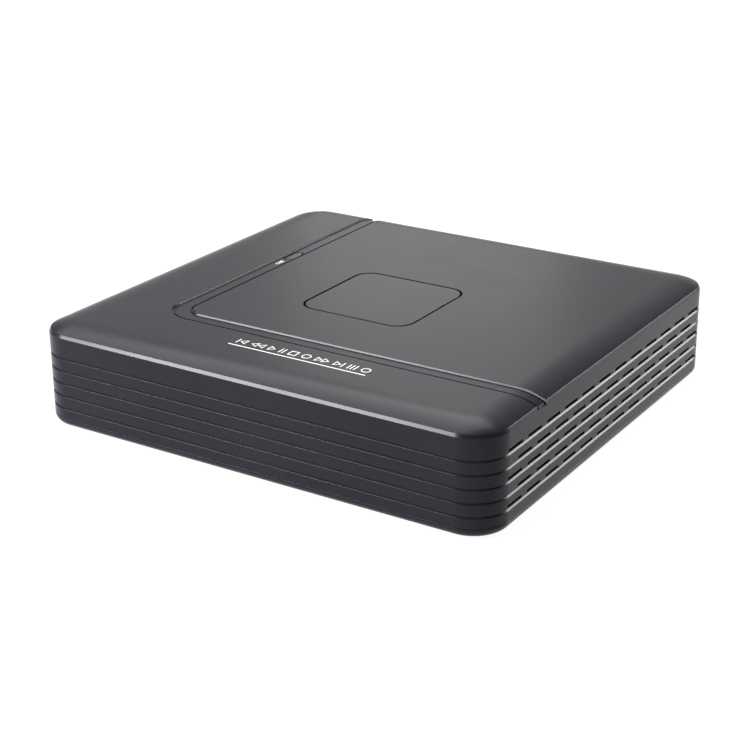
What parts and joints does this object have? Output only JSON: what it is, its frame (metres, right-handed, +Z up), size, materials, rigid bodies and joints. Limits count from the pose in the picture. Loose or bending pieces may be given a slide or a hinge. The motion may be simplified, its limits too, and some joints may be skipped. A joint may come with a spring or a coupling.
{
  "type": "dvr recorder",
  "caption": "Desktop video surveillance recorder: flat two-part moulded case with grooved, slotted walls and a channelled crowned top, rear sockets, main board and disk drive.",
  "frame": {"origin": "on the table, under the middle of the object's whole box, which takes in the rear jacks", "axes": "+Z up, +Y to the rear panel, +X to the right of someone who faces the front"},
  "size_m": [0.205, 0.206, 0.0435],
  "materials": {
    "case_plastic": "satin black moulded ABS with a fine texture",
    "badge_plastic": "smooth satin inlay",
    "smoked_plastic": "smoked clear polycarbonate",
    "coated_steel": "black powder coat on sheet steel",
    "foot_rubber": "matt rubber",
    "screw_steel": "zinc plated",
    "circuit_board": "green solder mask",
    "chip_resin": "moulded epoxy",
    "black_aluminium": "black anodised",
    "black_plastic": "moulded",
    "capacitor_sleeve": "shrunk sleeve",
    "ferrite": "moulded ferrite",
    "led_resin": "clear epoxy lens",
    "nickel": "nickel plated",
    "cast_aluminium": "die cast",
    "drive_lid_steel": "pressed stainless steel",
    "platter_coating": "polished",
    "data_lead": "PVC sheath",
    "power_lead": "PVC sheath"
  },
  "bodies": {
    "recorder": {"base_tray": "case_plastic", "rear_panel": "coated_steel", "foot_1": "foot_rubber", "foot_2": "foot_rubber", "foot_3": "foot_rubber", "foot_4": "foot_rubber", "case_screw_1": "screw_steel", "case_screw_2": "screw_steel", "case_screw_3": "screw_steel", "case_screw_4": "screw_steel", "main_board": "circuit_board", "board_screw_1": "screw_steel", "board_screw_2": "screw_steel", "board_screw_3": "screw_steel", "board_screw_4": "screw_steel", "video_processor": "chip_resin", "memory_chip_1": "chip_resin", "memory_chip_2": "chip_resin", "flash_chip": "chip_resin", "network_transformer": "chip_resin", "heat_sink": "black_aluminium", "coin_cell_holder": "black_plastic", "coin_cell": "screw_steel", "buzzer": "black_plastic", "capacitor_1": "capacitor_sleeve", "capacitor_2": "capacitor_sleeve", "power_inductor": "ferrite", "indicator_led": "led_resin", "drive_data_header": "black_plastic", "drive_power_header": "black_plastic", "video_jack_1": "nickel", "video_jack_2": "nickel", "video_jack_3": "nickel", "video_jack_4": "nickel", "audio_jacks": "nickel", "usb_sockets": "nickel", "network_socket": "nickel", "digital_video_socket": "nickel", "screen_socket": "nickel", "hex_post_left": "nickel", "hex_post_right": "nickel", "power_socket": "black_plastic", "drive_base": "cast_aluminium", "drive_lid": "drive_lid_steel", "drive_magnet": "nickel", "drive_controller_board": "circuit_board", "drive_connector": "black_plastic", "drive_screw_1": "screw_steel", "drive_screw_2": "screw_steel", "drive_screw_3": "screw_steel", "drive_screw_4": "screw_steel", "drive_data_lead": "data_lead", "drive_power_lead": "power_lead"},
    "cover": {"top_cover": "case_plastic", "badge_plate": "badge_plastic", "light_pipe": "smoked_plastic"},
    "platters": {"drive_platters": "platter_coating"},
    "head_arm": {"drive_head_arm": "cast_aluminium"}
  },
  "joints": [
    {"name": "cover_lift", "type": "slide", "parent": "recorder", "child": "cover", "axis": [0, 0, 1], "range_m": [0, 0.06]},
    {"name": "platter_spin", "type": "hinge", "parent": "recorder", "child": "platters", "pos_m": [-0.0357, -0.0467, 0.02], "axis": [0, 0, 1], "continuous": true},
    {"name": "head_swing", "type": "hinge", "parent": "recorder", "child": "head_arm", "pos_m": [0.019, -0.064, 0.02], "axis": [0, 0, 1], "range_deg": [0, 34]}
  ]
}
